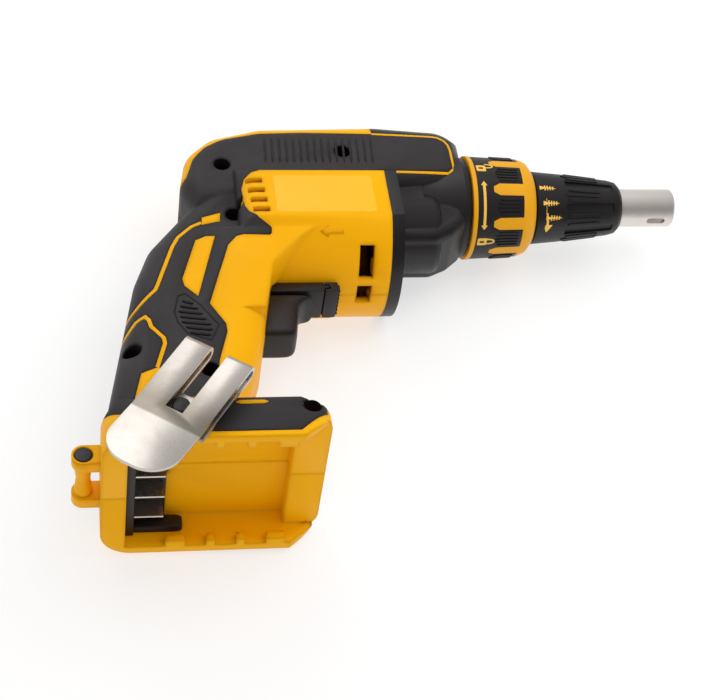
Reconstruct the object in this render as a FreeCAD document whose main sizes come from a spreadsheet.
"""Cordless drywall screwdriver, modelled as a parametric document in millimetres.

The tool lies on its left side. The origin is at the mouth of the nose tube, on the spindle
axis. +X leaves the nose, +Y is towards the top of the tool and +Z out of its right side.
"""
import FreeCAD
import Part
import Sketcher
import math
import os

Vector = FreeCAD.Vector
Rotation = FreeCAD.Rotation
Placement = FreeCAD.Placement

# Driving dimensions: alias, millimetres (or a count), meaning
SIZES = (
    ("tube_radius", 8.0, "nose tube, outside"),
    ("tube_bore", 6.4, "nose tube, front bore radius"),
    ("tube_rear_bore", 6.9, "nose tube, relieved bore behind the front bore"),
    ("tube_standout", 24.0, "nose tube ahead of the depth collar"),
    ("tube_bore_length", 34.0, "length of the front bore"),
    ("tube_tail", 33.0, "nose tube inside the depth collar"),
    ("tube_chamfer", 0.8, "outer chamfer at the mouth"),
    ("slot_length", 8.0, "view slot in the nose tube"),
    ("slot_width", 3.0, "view slot in the nose tube"),
    ("slot_setback", 4.0, "view slot behind the mouth"),
    ("collar_length", 38.8, "depth collar"),
    ("collar_rear_radius", 15.4, "depth collar at the lock ring"),
    ("collar_waist_radius", 14.2, "depth collar where the grip pads start"),
    ("collar_front_radius", 11.8, "depth collar behind its lip"),
    ("collar_band", 14.0, "plain band at the rear of the collar"),
    ("collar_lip", 5.0, "rounded lip at the front of the collar"),
    ("collar_mouth", 10.0, "length of the collar's close bore on the tube"),
    ("collar_mouth_wall", 1.2, "collar wall at its mouth"),
    ("collar_lip_run", 1.6, "length of the lip's front chamfer"),
    ("collar_lip_step", 0.9, "lip below the front radius"),
    ("collar_edge", 0.6, "rear edge of the collar"),
    ("pad_count", 8, "grip pads round the collar"),
    ("valley_width", 3.4, "valley between two grip pads"),
    ("valley_depth", 1.1, "valley between two grip pads"),
    ("valley_run", 0.8, "valley past both ends of the pads"),
    ("guide_wall", 2.0, "sleeve that guides the nose tube"),
    ("ring_length", 26.0, "lock ring"),
    ("ring_rear_radius", 21.6, "lock ring at its rear"),
    ("ring_front_radius", 20.5, "lock ring before its front taper"),
    ("ring_nose_radius", 16.6, "lock ring at its front edge"),
    ("ring_taper", 5.0, "length of the front taper"),
    ("ring_taper_middle", 2.0, "middle of the front taper behind the ring's front"),
    ("ring_middle_radius", 19.2, "lock ring at the middle of its taper"),
    ("ring_wall", 4.0, "lock ring wall"),
    ("ring_lip", 3.0, "front wall of the lock ring"),
    ("trim_depth", 1.5, "two-shot trim on the lock ring"),
    ("trim_rim", 6.2, "front rim of the trim"),
    ("finger_count", 9, "trim fingers"),
    ("finger_reach", 12.8, "trim fingers behind the rim"),
    ("finger_width", 5.2, "trim fingers"),
    ("finger_tip", 2.4, "flat end of a trim finger"),
    ("finger_turn", 24.0, "trim fingers turned about the axis, degrees"),
    ("band_length", 1.8, "thin trim band behind the lock ring"),
    ("band_standout", 0.2, "trim band and bit ring over what carries them"),
    ("nose_gap", 0.8, "axial gaps in the nose piece"),
    ("running_fit", 0.1, "radial clearance of turning and sliding fits"),
    ("end_play", 0.3, "axial clearance of turning pieces"),
    ("end_gap", 0.5, "gap at the ends of seats"),
    ("case_length", 37.8, "gear case from its front to the housing joint"),
    ("case_half_width", 16.5, "flat sides of the gear case"),
    ("dome_mouth_radius", 20.8, "domed front at the lock ring"),
    ("flange_thickness", 5.0, "flange at the housing joint"),
    ("boss_radius", 17.0, "bulge over the pinion"),
    ("boss_length", 20.0, "bulge ahead of the flange"),
    ("boss_round", 4.0, "rounding of the bulge"),
    ("boss_shoulder", 1.2, "middle step of the bulge's rounding"),
    ("chin_half_width", 13.5, "underside of the gear case"),
    ("chin_round", 4.5, "rounded edges of the underside"),
    ("chin_corner", 6.5, "rounded corners of the underside"),
    ("web_drop_low", 3.0, "flat sides of the case below the motor axis"),
    ("hollow_wall", 3.0, "wall over the gear cavity"),
    ("case_screw_drop", 8.6, "side case screws below the motor axis"),
    ("case_screw_side", 25.0, "side case screws from the middle plane"),
    ("case_screw_low", 27.0, "lower case screws below the motor axis"),
    ("case_screw_low_side", 9.0, "lower case screws from the middle plane"),
    ("case_screw_radius", 1.5, "case screws"),
    ("case_screw_head_radius", 2.8, "case screws"),
    ("case_screw_head", 2.0, "case screws"),
    ("case_screw_reach", 6.5, "case screws behind the housing joint"),
    ("case_screw_boss", 3.5, "case screw posts in the housing"),
    ("spigot_radius", 14.0, "spigot that carries the nose piece"),
    ("spigot_length", 12.0, "spigot ahead of the case"),
    ("case_front_wall", 8.8, "case wall behind its front face"),
    ("gear_room", 13.8, "radius of the gear cavity"),
    ("pinion_room", 6.0, "radius of the pinion cavity"),
    ("gear_module", 0.7, "gear module"),
    ("pinion_teeth", 10, "teeth"),
    ("gear_teeth", 34, "teeth"),
    ("pressure_angle", 25.0, "degrees"),
    ("profile_shift", 0.3, "addendum shift of the pinion, in modules"),
    ("backlash", 0.12, "tooth thinning"),
    ("tooth_addendum", 0.85, "tooth above the pitch circle, in modules"),
    ("tooth_dedendum", 1.2, "tooth below the pitch circle, in modules"),
    ("root_ease", 0.05, "start of the flank above the root, in modules"),
    ("gear_face", 9.0, "face width of the drive gear"),
    ("dog_height", 2.3, "clutch dogs"),
    ("dog_inner", 7.5, "clutch dogs"),
    ("dog_outer", 10.5, "clutch dogs"),
    ("dog_width", 4.0, "clutch dogs"),
    ("dog_count", 3, "clutch dogs"),
    ("clutch_gap", 3.3, "gap between the dogs at rest"),
    ("clutch_flange", 3.0, "thickness of the spindle's clutch flange"),
    ("washer_thickness", 1.0, "thrust washer"),
    ("washer_radius", 6.8, "thrust washer"),
    ("spring_radius", 5.6, "clutch spring, mean"),
    ("spring_wire", 0.8, "clutch spring wire diameter"),
    ("spring_turns", 4, "clutch spring"),
    ("spring_seat_gap", 0.02, "clutch spring to its seats"),
    ("stub_radius", 2.5, "spindle stub inside the drive gear"),
    ("hub_radius", 4.0, "drive gear hub in its bearing"),
    ("spindle_radius", 5.0, "spindle in its bush"),
    ("socket_radius", 6.0, "bit socket, outside"),
    ("socket_back", 70.0, "rear of the bit socket behind the mouth"),
    ("socket_front", 42.0, "front of the bit socket behind the mouth"),
    ("hex_across", 6.4, "bit socket across flats"),
    ("hex_depth", 20.0, "bit socket"),
    ("bit_ring_setback", 8.0, "spring ring behind the socket's front"),
    ("bit_ring_width", 1.2, "spring ring"),
    ("bit_ring_depth", 0.6, "groove of the spring ring"),
    ("bush_radius", 8.0, "spindle bush, outside"),
    ("seal_length", 2.0, "felt seal ahead of the bush"),
    ("plate_radius", 24.0, "bearing plate between motor and gears"),
    ("plate_half_width", 15.6, "flats on the sides of the bearing plate"),
    ("plate_thickness", 3.2, "bearing plate"),
    ("bearing_radius", 6.5, "ball bearings, outside"),
    ("bearing_width", 5.0, "ball bearings"),
    ("shaft_radius", 3.0, "rotor shaft in its bearings"),
    ("shaft_core_radius", 4.0, "rotor shaft inside the core"),
    ("shaft_tip_radius", 2.0, "rotor shaft inside the pinion"),
    ("shaft_shoulder", 1.0, "thick part of the shaft ahead of the fan"),
    ("motor_setback", 22.0, "front of the stator behind the housing joint"),
    ("stator_length", 26.0, "stator core"),
    ("stator_radius", 22.4, "stator core, outside"),
    ("stator_bore", 13.6, "stator core, air gap side"),
    ("stator_yoke", 3.0, "stator core"),
    ("tooth_count", 6, "stator teeth"),
    ("tooth_width", 6.0, "stator teeth"),
    ("coil_thickness", 2.4, "windings beside a tooth"),
    ("coil_overhang", 2.5, "windings ahead of and behind the core"),
    ("coil_clearance", 0.3, "windings to the core's yoke and bore"),
    ("rotor_radius", 13.0, "rotor over its magnets"),
    ("magnet_thickness", 2.0, "rotor magnets"),
    ("fan_radius", 21.0, "cooling fan"),
    ("fan_length", 9.0, "cooling fan"),
    ("fan_blades", 9, "cooling fan"),
    ("fan_hub", 8.0, "cooling fan hub radius"),
    ("fan_disc", 1.6, "cooling fan back disc"),
    ("blade_root", 0.9, "half thickness of a fan blade at the hub"),
    ("blade_tip", 0.8, "half thickness of a fan blade at its tip"),
    ("blade_sweep", 3.2, "fan blade tip behind its root, round the axis"),
    ("fan_setback", 9.0, "fan behind the housing joint"),
    ("sensor_gap", 4.5, "rotor sensor board behind the stator"),
    ("board_thickness", 1.5, "circuit boards"),
    ("sensor_radius", 22.0, "rotor sensor board"),
    ("sensor_bore", 7.0, "rotor sensor board"),
    ("barrel_radius", 34.0, "motor barrel"),
    ("barrel_half_width", 29.0, "flats on the sides of the barrel"),
    ("barrel_shoulder", 7.4, "top of the flats above the motor axis"),
    ("barrel_length", 60.0, "barrel behind the housing joint"),
    ("barrel_round", 7.0, "rounded rear of the barrel"),
    ("barrel_tuck", 1.0, "barrel's shoulders inside the beam"),
    ("housing_wall", 3.0, "clamshell wall"),
    ("grip_depth", 1.6, "rubber over-mould"),
    ("beam_half_width", 20.0, "top beam"),
    ("beam_round", 9.0, "rounded edges of the beam"),
    ("beam_corner", 14.0, "rounded corners of the beam's outline"),
    ("beam_sink", 3.0, "underside of the beam below the spindle axis, at the front"),
    ("beam_height", 32.6, "top of the beam above the spindle axis"),
    ("beam_brow_drop", 10.5, "front corner of the beam below its top"),
    ("beam_slope_run", 6.0, "front corner to the slope's top, along"),
    ("beam_slope_drop", 3.1, "slope's top below the beam's top"),
    ("beam_crown_run", 36.0, "crown of the beam behind its front"),
    ("beam_hip_run", 34.0, "rear hip ahead of the heel"),
    ("beam_hip_drop", 1.8, "rear hip below the crown"),
    ("beam_shoulder_run", 13.0, "rear shoulder ahead of the heel"),
    ("beam_shoulder_drop", 8.2, "rear shoulder below the crown"),
    ("beam_back_run", 3.0, "upper back ahead of the heel"),
    ("beam_back_drop", 18.5, "upper back below the crown"),
    ("beam_reach", 81.5, "heel of the beam behind the housing joint"),
    ("heel_drop", 3.0, "heel below the spindle axis"),
    ("web_run", 5.0, "hand web ahead of the heel"),
    ("web_drop", 17.0, "hand web below the spindle axis"),
    ("tongue_length", 33.0, "housing tongue along the gear case"),
    ("tongue_depth", 4.0, "housing tongue thickness"),
    ("tongue_low", 0.4, "lower edge of the tongue above the spindle axis"),
    ("tongue_high", 24.3, "upper edge of the tongue at the joint, above the spindle axis"),
    ("tongue_fall", 1.4, "fall of the tongue's upper edge to its front"),
    ("tongue_corner", 8.0, "rounded upper front of the tongue"),
    ("tongue_toe", 2.0, "cut lower front of the tongue"),
    ("trim_line", 1.1, "bare housing line round the rubber pad"),
    ("grip_line", 1.5, "bare lines in the rubber"),
    ("louvre_count", 4, "louvres at the rear of the barrel"),
    ("louvre_top", -15.2, "upper louvre over the spindle axis"),
    ("louvre_pitch", 5.4, "louvres"),
    ("louvre_height", 2.6, "louvres"),
    ("louvre_length", 6.6, "louvres"),
    ("louvre_shift", 0.6, "each louvre ahead of the one above"),
    ("louvre_setback", 3.4, "louvres ahead of the barrel's rear"),
    ("window_setback", 7.0, "fan windows behind the housing joint"),
    ("window_length", 6.0, "fan windows, along the tool"),
    ("window_width", 9.5, "lower fan window, round the barrel"),
    ("window_side_width", 14.0, "side fan window, round the barrel"),
    ("window_step", 26.0, "degrees between fan windows"),
    ("rib_width", 3.0, "ribs inside the clamshell"),
    ("neck_tuck", 0.2, "neck's narrow ends inside the handle's flanks"),
    ("neck_half_width", 26.6, "neck at its widest place"),
    ("neck_reach", 78.0, "neck's rear end behind the housing joint"),
    ("neck_shoulder", 57.0, "neck's widest place behind the housing joint"),
    ("neck_front", 30.0, "neck's front end behind the housing joint"),
    ("neck_high", 29.0, "neck's upper edge below the spindle axis"),
    ("neck_crest", 37.0, "neck's widest place below the spindle axis"),
    ("neck_low", 72.0, "neck's lower end below the spindle axis"),
    ("handle_half_width", 18.5, "handle"),
    ("handle_round", 12.0, "rounded edges of the handle"),
    ("handle_corner", 18.0, "rounded corners of the handle's outline"),
    ("ankle_run", 8.5, "front of the handle at the foot, behind its swell"),
    ("ankle_step", 1.5, "front of the handle inside the foot"),
    ("ankle_height", 12.0, "front of the handle above the foot"),
    ("foot_top", 128.0, "top of the battery foot below the spindle axis"),
    ("foot_height", 19.0, "battery foot"),
    ("foot_half_width", 34.0, "battery foot"),
    ("foot_length", 81.5, "battery foot"),
    ("foot_setback", 117.0, "rear of the foot behind the housing joint"),
    ("foot_rear_corner", 12.0, "rear corners of the foot, in plan"),
    ("foot_front_corner", 9.0, "front corners of the foot, in plan"),
    ("foot_edge", 3.0, "rounded upper edges of the foot"),
    ("foot_heel_run", 6.0, "slope at the top rear of the foot"),
    ("foot_heel_drop", 5.0, "slope at the top rear of the foot"),
    ("foot_toe_run", 11.0, "slopes at the front of the foot"),
    ("foot_toe_drop", 6.0, "upper slope at the front of the foot"),
    ("foot_toe_rise", 9.0, "lower slope at the front of the foot"),
    ("cover_depth", 1.5, "rubber cover on the foot"),
    ("cover_line", 1.5, "bare line between cover and hook boss"),
    ("cover_toe", 2.0, "bare front end of the foot"),
    ("cover_rise", 4.0, "rear part of the cover above the rim"),
    ("cover_inner", 3.0, "cover beside the handle"),
    ("rim_height", 2.4, "bare rim of the foot below its cover"),
    ("dock_wall", 3.5, "side walls of the battery dock"),
    ("dock_floor", 4.0, "floor of the dock"),
    ("dock_rear", 9.0, "rear wall of the dock"),
    ("dock_front", 13.0, "front lip of the dock"),
    ("lip_height", 10.0, "front lip of the dock below the foot's top"),
    ("rail_depth", 3.0, "battery rails, inwards"),
    ("rail_height", 3.4, "battery rails"),
    ("notch_count", 3, "notches in a battery rail"),
    ("notch_length", 8.0, "notches in a battery rail"),
    ("ear_reach", 6.0, "tether ears, hole behind the foot"),
    ("ear_radius", 4.2, "tether ears"),
    ("ear_inner", 8.0, "tether ears from the middle plane"),
    ("ear_thickness", 5.0, "tether ears"),
    ("ear_drop", 9.0, "tether hole below the foot's top"),
    ("post_radius", 2.6, "tether post at its waist"),
    ("post_end_radius", 3.4, "tether post at its ends"),
    ("screw_head_radius", 3.2, "clamshell screws"),
    ("screw_head_height", 2.6, "clamshell screws"),
    ("screw_radius", 1.6, "clamshell screws"),
    ("screw_length", 18.0, "clamshell screws"),
    ("screw_seat", 6.0, "screw heads right of the middle plane"),
    ("screw_clearance", 0.3, "screw recess"),
    ("screw_boss", 5.0, "screw posts inside the clamshell"),
    ("trigger_half_width", 8.0, "trigger"),
    ("trigger_top", 55.4, "trigger below the spindle axis"),
    ("trigger_height", 21.0, "trigger"),
    ("trigger_front", 38.0, "trigger front behind the housing joint"),
    ("trigger_depth", 18.0, "trigger from front to back"),
    ("trigger_travel", 6.0, "trigger"),
    ("trigger_round", 0.9, "trigger edges"),
    ("trigger_lip", 6.5, "lip at the top of the trigger, forwards"),
    ("trigger_lip_height", 2.2, "thickness of the lip at its front"),
    ("trigger_curve", 7.0, "height of the curve under the lip"),
    ("trigger_rake", 2.0, "lower end of the trigger behind its middle"),
    ("slide_gap", 0.4, "clearance round the trigger"),
    ("nose_drop", 5.0, "height of the switch nose under the barrel"),
    ("nose_reach", 27.0, "front of the switch nose behind the housing joint"),
    ("button_length", 5.6, "direction button, along the tool"),
    ("button_half_width", 8.0, "direction button, across the tool"),
    ("button_gap", 0.15, "clearance of the direction button"),
    ("button_rail", 2.2, "rail that carries the direction button"),
    ("switch_length", 19.0, "switch module"),
    ("switch_height", 20.0, "switch module"),
    ("switch_half_width", 9.0, "switch module"),
    ("plunger_radius", 2.5, "switch plunger"),
    ("plunger_reach", 9.0, "switch plunger inside the module"),
    ("tray_length", 19.0, "electronics tray"),
    ("tray_height", 25.0, "electronics tray"),
    ("tray_setback", 83.0, "front of the tray behind the housing joint"),
    ("tray_wall", 1.6, "electronics tray"),
    ("tray_lift", 3.0, "electronics tray above the foot"),
    ("lead_radius", 1.2, "leads"),
    ("lead_spacing", 4.0, "leads"),
    ("lead_bend", 7.0, "bend radius of the leads"),
    ("lead_rise", 26.0, "motor leads straight up from the tray"),
    ("lead_exit", 1.8, "motor leads from the edge of the sensor board"),
    ("lead_step", 6.0, "motor leads forwards at their second bend"),
    ("lead_drop", 12.0, "second bend below the sensor board's rim"),
    ("lead_run", 20.0, "motor leads forwards at their third bend"),
    ("block_length", 15.0, "terminal block"),
    ("block_height", 10.0, "terminal block"),
    ("block_wall", 3.4, "terminal block"),
    ("blade_thickness", 0.8, "terminal blades"),
    ("blade_height", 7.0, "terminal blades"),
    ("blade_pitch", 12.0, "terminal blades"),
    ("blade_count", 4, "terminal blades"),
    ("hook_boss_height", 2.5, "hook boss on the side of the foot"),
    ("hook_boss_half", 9.0, "hook boss, along the tool"),
    ("hook_width", 27.0, "belt hook"),
    ("hook_thickness", 1.5, "belt hook strip"),
    ("hook_length", 63.0, "belt hook from fold to tongue end"),
    ("hook_gap", 3.4, "belt hook, between its two leaves at the fold"),
    ("hook_flare", 3.0, "belt hook, rise of the tongue"),
    ("hook_bend", 38.0, "belt hook, fold to tongue bend"),
    ("hook_inner", 36.0, "belt hook, length of the inner leaf"),
    ("hook_tongue_round", 12.0, "belt hook, corners of the tongue"),
    ("hook_slot", 6.6, "belt hook slot width"),
    ("hook_slot_end", 33.0, "belt hook, fold to slot end"),
    ("hook_screw_reach", 28.0, "belt hook, fold to its screw"),
    ("hook_angle", 55.7, "belt hook strip to the tool's axis, degrees"),
    ("hook_screw_radius", 2.0, "belt hook screw"),
    ("hook_screw_setback", 89.9, "belt hook screw behind the housing joint"),
    ("hook_screw_drop", 9.4, "belt hook screw below the foot's top"),
)

# Outlines in side view: distance behind the housing joint, height over the spindle axis or radius
OUTLINES = {
    "screw": (
        (64.0, 5.0), (13.5, 13.0), (61.2, -22.5), (104.0, -92.0), (76.0, -103.0), (43.0, -133.0),
    ),
    "handle_back": ((74.0, -6.0), (96.0, -36.0), (102.0, -53.0)),
    "neck": (
        (78.0, -29.0), (78.0, -72.0), (52.6, -72.0), (48.6, -53.0), (36.0, -41.0), (30.0, -37.0),
        (30.0, -29.0),
    ),
    "handle_front": ((55.5, -92.0), (48.0, -52.0), (40.0, -40.0), (40.0, -6.0)),
    "grip_top": (
        (0.0, 23.7), (30.0, 24.4), (48.0, 23.6), (62.0, 20.6), (70.5, 15.8), (75.6, 9.0), (78.6, 0.0),
        (92.0, -9.0),
    ),
    "grip_front": (
        (72.3, -98.5), (68.4, -84.7), (68.6, -80.5), (74.0, -70.4), (67.6, -51.0), (65.4, -44.0),
        (62.0, -40.6), (49.0, -41.0), (48.2, -40.0), (48.1, -37.8), (48.9, -36.6), (53.0, -34.0),
        (56.3, -30.6), (57.7, -26.6), (58.3, -16.7), (57.0, -12.2), (54.0, -9.4), (50.5, -8.0), (0.0, -7.2),
    ),
    "dome": ((-18.0, 16.5), (-25.0, 17.4), (-30.0, 18.9), (-33.0, 20.0), (-35.4, 21.3)),
    "chin": ((-4.0, -8.0), (-4.0, -30.0), (-21.5, -30.0), (-29.0, -26.2), (-36.2, -19.5), (-36.2, -8.0)),
    "upper_line": (
        (74.5, -27.1), (78.8, -29.4), (84.1, -34.8), (86.6, -40.2), (93.0, -59.5), (94.2, -62.8),
        (97.5, -66.0), (101.9, -70.3), (110.0, -76.0),
    ),
    "upper_tab": ((74.1, -24.3), (66.6, -21.6), (67.0, -26.3), (74.3, -28.3)),
    "lower_line": (
        (112.0, -87.0), (105.2, -80.9), (102.2, -77.4), (98.8, -76.0), (97.4, -78.2), (96.7, -81.7),
        (92.3, -87.4), (92.0, -90.2), (95.4, -101.7),
    ),
    "lower_patch": ((94.6, -101.4), (101.4, -104.6), (106.0, -124.0), (94.0, -124.0)),
    "grip_panel": (
        (77.4, -36.9), (73.5, -36.2), (70.0, -37.4), (78.2, -66.4), (83.0, -61.2), (83.7, -57.5),
    ),
}

doc = FreeCAD.newDocument("DrywallScrewdriver")
sheet = doc.addObject("Spreadsheet::Sheet", "Sizes")
nodes = []


class Size:
    """A length that carries its number and the expression that ties it to the sheet."""

    def __init__(self, text, value):
        self.text = text
        self.value = value

    def __float__(self):
        return float(self.value)

    def _with(self, other, sign, value, swap=False):
        left, right = self.text, as_size(other).text
        if swap:
            left, right = right, left
        return Size(f"({left} {sign} {right})", value)

    def __add__(self, other):
        return self._with(other, "+", self.value + float(other))

    __radd__ = __add__

    def __sub__(self, other):
        return self._with(other, "-", self.value - float(other))

    def __rsub__(self, other):
        return self._with(other, "-", float(other) - self.value, swap=True)

    def __mul__(self, other):
        return self._with(other, "*", self.value * float(other))

    __rmul__ = __mul__

    def __truediv__(self, other):
        return self._with(other, "/", self.value / float(other))

    def __neg__(self):
        return Size(f"(0 - {self.text})", -self.value)


def as_size(number):
    """Give a plain number the form of a size."""
    if isinstance(number, Size):
        return number
    return Size(f"({number:.6f})", float(number))


class Sizes:
    """The sheet's cells, read back by alias."""

    def __init__(self):
        for row, (alias, value, meaning) in enumerate(SIZES, 1):
            self._fill(row, alias, value, meaning)
        row = len(SIZES)
        for outline_name, points in OUTLINES.items():
            for number, (back, height) in enumerate(points, 1):
                self._fill(row + 1, f"{outline_name}_{number}_back", back, "behind the housing joint")
                self._fill(row + 2, f"{outline_name}_{number}_height", height, "over the spindle axis")
                row += 2
        doc.recompute()

    def _fill(self, row, alias, value, meaning):
        sheet.set(f"A{row}", meaning)
        sheet.set(f"B{row}", str(value))
        sheet.setAlias(f"B{row}", alias)

    def __getattr__(self, alias):
        return Size(f"Sizes.{alias}", float(sheet.get(alias)))

    def places(self, outline_name):
        """An outline's corners as (along, height)."""
        numbers = range(1, len(OUTLINES[outline_name]) + 1)
        cells = [(f"{outline_name}_{n}_back", f"{outline_name}_{n}_height") for n in numbers]
        return [(joint - getattr(self, back), getattr(self, height)) for back, height in cells]


def settle(*items):
    """Work out single objects in turn, without the rest of the document."""
    for item in items:
        item.recompute()
        item.purgeTouched()


def bind(target, prop, size):
    """Tie a property to the sheet."""
    target.setExpression(prop, as_size(size).text)


def origin_plane(body, role):
    """Find one of a body's own origin planes or axes."""
    return next(f for f in body.Origin.OriginFeatures if f.Role == role)


def new_body(name):
    """Start a body under its own label."""
    body = doc.addObject("PartDesign::Body", name)
    body.Label = name
    return body


def outline(body, name, plane, points, level=0):
    """Draw a closed outline whose corners are tied to the sheet."""
    sketch = body.newObject("Sketcher::SketchObject", name)
    sketch.AttachmentSupport = [(origin_plane(body, plane), "")]
    sketch.MapMode = "FlatFace"
    if level:
        bind(sketch, "AttachmentOffset.Base.z", level)
    places = [Vector(float(x), float(y), 0) for x, y in points]
    count = len(places)
    lines = [Part.LineSegment(places[i], places[(i + 1) % count]) for i in range(count)]
    sketch.addGeometry(lines, False)
    rules = [Sketcher.Constraint("Coincident", i, 2, (i + 1) % count, 1) for i in range(count)]
    for i, place in enumerate(places):
        rules.append(Sketcher.Constraint("DistanceX", -1, 1, i, 1, place.x))
        rules.append(Sketcher.Constraint("DistanceY", -1, 1, i, 1, place.y))
    sketch.addConstraint(rules)
    for i, point in enumerate(points):
        for axis, size in enumerate(point):
            if isinstance(size, Size):
                bind(sketch, f"Constraints[{count + 2 * i + axis}]", size)
    return sketch


def turned(name, points, axis_height=0):
    """Turn an outline of (along, radius) corners about an axis along X."""
    body = new_body(name)
    sketch = outline(body, f"{name}_profile", "XY_Plane", points)
    turn = body.newObject("PartDesign::Revolution", f"{name}_turn")
    turn.Profile = sketch
    turn.ReferenceAxis = (sketch, ["H_Axis"])
    turn.Angle = 360
    if axis_height:
        bind(body, "Placement.Base.y", axis_height)
    settle(sketch, turn, body)
    return body


def ring(name, start, end, inner, outer, axis_height=0):
    """Turn a plain ring."""
    return turned(name, [(start, inner), (end, inner), (end, outer), (start, outer)], axis_height)


def pad(body, name, plane, points, length, level=0, both=False, against=False):
    """Add a pad to a body."""
    feature = body.newObject("PartDesign::Pad", name)
    feature.Profile = outline(body, f"{name}_outline", plane, points, level)
    bind(feature, "Length", length)
    feature.Midplane = both
    feature.Reversed = against
    settle(feature.Profile[0], feature, body)
    return feature


def pocket(body, name, plane, points, length, level=0, both=False, against=False):
    """Cut a pocket into a body, and see that it cuts."""
    before = body.Shape.Volume
    feature = body.newObject("PartDesign::Pocket", name)
    feature.Profile = outline(body, f"{name}_outline", plane, points, level)
    bind(feature, "Length", length)
    feature.Midplane = both
    feature.Reversed = against
    settle(feature.Profile[0], feature, body)
    if body.Shape.Volume >= before:
        raise RuntimeError(f"{name} cuts nothing")
    return feature


def polar(body, name, features, count):
    """Repeat features round the body's X axis."""
    pattern = body.newObject("PartDesign::PolarPattern", name)
    pattern.Originals = features
    pattern.Axis = (origin_plane(body, "X_Axis"), [""])
    pattern.Angle = 360
    bind(pattern, "Occurrences", count)
    body.Tip = pattern
    settle(pattern, body)
    return pattern


def rounded(body, name, feature, edges, radius):
    """Round some edges of a body's last feature."""
    fillet = body.newObject("PartDesign::Fillet", name)
    fillet.Base = (feature, edges)
    bind(fillet, "Radius", radius)
    body.Tip = fillet
    settle(fillet, body)
    if "Invalid" in fillet.State:
        raise RuntimeError(f"{name} is not made on {edges}")
    return fillet


def edges_through(shape, points, axes=(0, 1)):
    """Names of the straight edges that run square to two axes through given corners."""
    found = []
    for number, edge in enumerate(shape.Edges, 1):
        ends = [vertex.Point for vertex in edge.Vertexes]
        for point in points:
            near = [abs(end[a] - float(p)) < 1e-4 for end in ends for a, p in zip(axes, point)]
            if len(ends) == 2 and all(near):
                found.append(f"Edge{number}")
    return found


def edges_on(shape, axis, level):
    """Names of the edges that lie in a plane square to one axis, on both its sides."""
    found = []
    for number, edge in enumerate(shape.Edges, 1):
        ends = [abs(vertex.Point[axis]) for vertex in edge.Vertexes]
        middle = abs(edge.CenterOfMass[axis])
        if all(abs(end - float(level)) < 1e-4 for end in ends) and middle > float(level) - 1e-3:
            found.append(f"Edge{number}")
    return found


def prism(name, points, half_width):
    """Pad an XY outline evenly to both sides of the middle plane."""
    body = new_body(name)
    pad(body, f"{name}_pad", "XY_Plane", points, half_width * 2, both=True)
    return body


def box(name, low, high):
    """A box between two corners."""
    solid = doc.addObject("Part::Box", name)
    solid.Label = name
    for prop, axis, start, end in zip(("Length", "Width", "Height"), "xyz", low, high):
        bind(solid, prop, as_size(end) - start)
        bind(solid, f"Placement.Base.{axis}", start)
    settle(solid)
    return solid


def cylinder(name, axis, radius, start, length):
    """A cylinder that runs from a place along one axis."""
    solid = doc.addObject("Part::Cylinder", name)
    solid.Label = name
    turn = {"x": (Vector(0, 1, 0), 90), "y": (Vector(1, 0, 0), -90), "z": (Vector(0, 0, 1), 0)}
    solid.Placement = Placement(Vector(), Rotation(*turn[axis]))
    bind(solid, "Radius", radius)
    bind(solid, "Height", length)
    for letter, place in zip("xyz", start):
        bind(solid, f"Placement.Base.{letter}", place)
    settle(solid)
    return solid


def fuse(name, *solids):
    """Join solids."""
    joined = doc.addObject("Part::MultiFuse", name)
    joined.Label = name
    joined.Shapes = list(solids)
    joined.Refine = True
    settle(joined)
    return joined


def cut(name, base, *tools):
    """Take tools away from a solid."""
    result = doc.addObject("Part::Cut", name)
    result.Label = name
    result.Base = base
    result.Tool = tools[0] if len(tools) == 1 else fuse(f"{name}_tools", *tools)
    result.Refine = True
    settle(result)
    return result


def common(name, first, second):
    """Keep what two solids share."""
    result = doc.addObject("Part::Common", name)
    result.Label = name
    result.Base = first
    result.Tool = second
    result.Refine = True
    settle(result)
    return result


def group(name, solids):
    """Several separate solids under one label."""
    compound = doc.addObject("Part::Compound", name)
    compound.Label = name
    compound.Links = list(solids)
    settle(compound)
    return compound


def free_shape(name, shape):
    """A solid worked out by formula from the sheet's sizes."""
    feature = doc.addObject("Part::Feature", name)
    feature.Label = name
    feature.Shape = shape
    return feature


def node(solid, name):
    """Name a finished piece and put it on the list of pieces."""
    solid.Label = name
    nodes.append((name, solid))
    return solid


d = Sizes()

# Reach of cutting tools past what they cut, and of those that cut right through
OVERCUT = 1.0
FAR = 400.0
SIDE_REACH = FAR / 4

# Straight pieces that draw a quarter turn in an outline
CURVE_STEPS = 4

# Slope of a line that halves the angle of the barrel's shoulders
HALF_SHOULDER = math.tan(math.pi / 8)

# Places along the tool, from the mouth backwards, and heights
collar_front = -d.tube_standout
collar_rear = collar_front - d.collar_length
ring_front = collar_rear - d.nose_gap
ring_rear = ring_front - d.ring_length
case_front = ring_rear - d.band_length - d.nose_gap
joint = case_front - d.case_length
spigot_front = case_front + d.spigot_length
bush_rear = case_front - d.case_front_wall
clutch_front = bush_rear - d.end_play
clutch_back = clutch_front - d.clutch_flange
gear_front = clutch_back - d.dog_height * 2 - d.clutch_gap
gear_back = gear_front - d.gear_face
motor_y = -(d.gear_module * (d.pinion_teeth + d.gear_teeth) / 2)
stator_front = joint - d.motor_setback
stator_rear = stator_front - d.stator_length
sensor_front = stator_rear - d.sensor_gap
rear_bearing_front = sensor_front - d.board_thickness - d.end_gap
rear_bearing_back = rear_bearing_front - d.bearing_width
barrel_rear = joint - d.barrel_length
heel_x = joint - d.beam_reach
foot_top = -d.foot_top
foot_rim = foot_top - d.foot_height
foot_rear = joint - d.foot_setback
foot_front = foot_rear + d.foot_length


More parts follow.
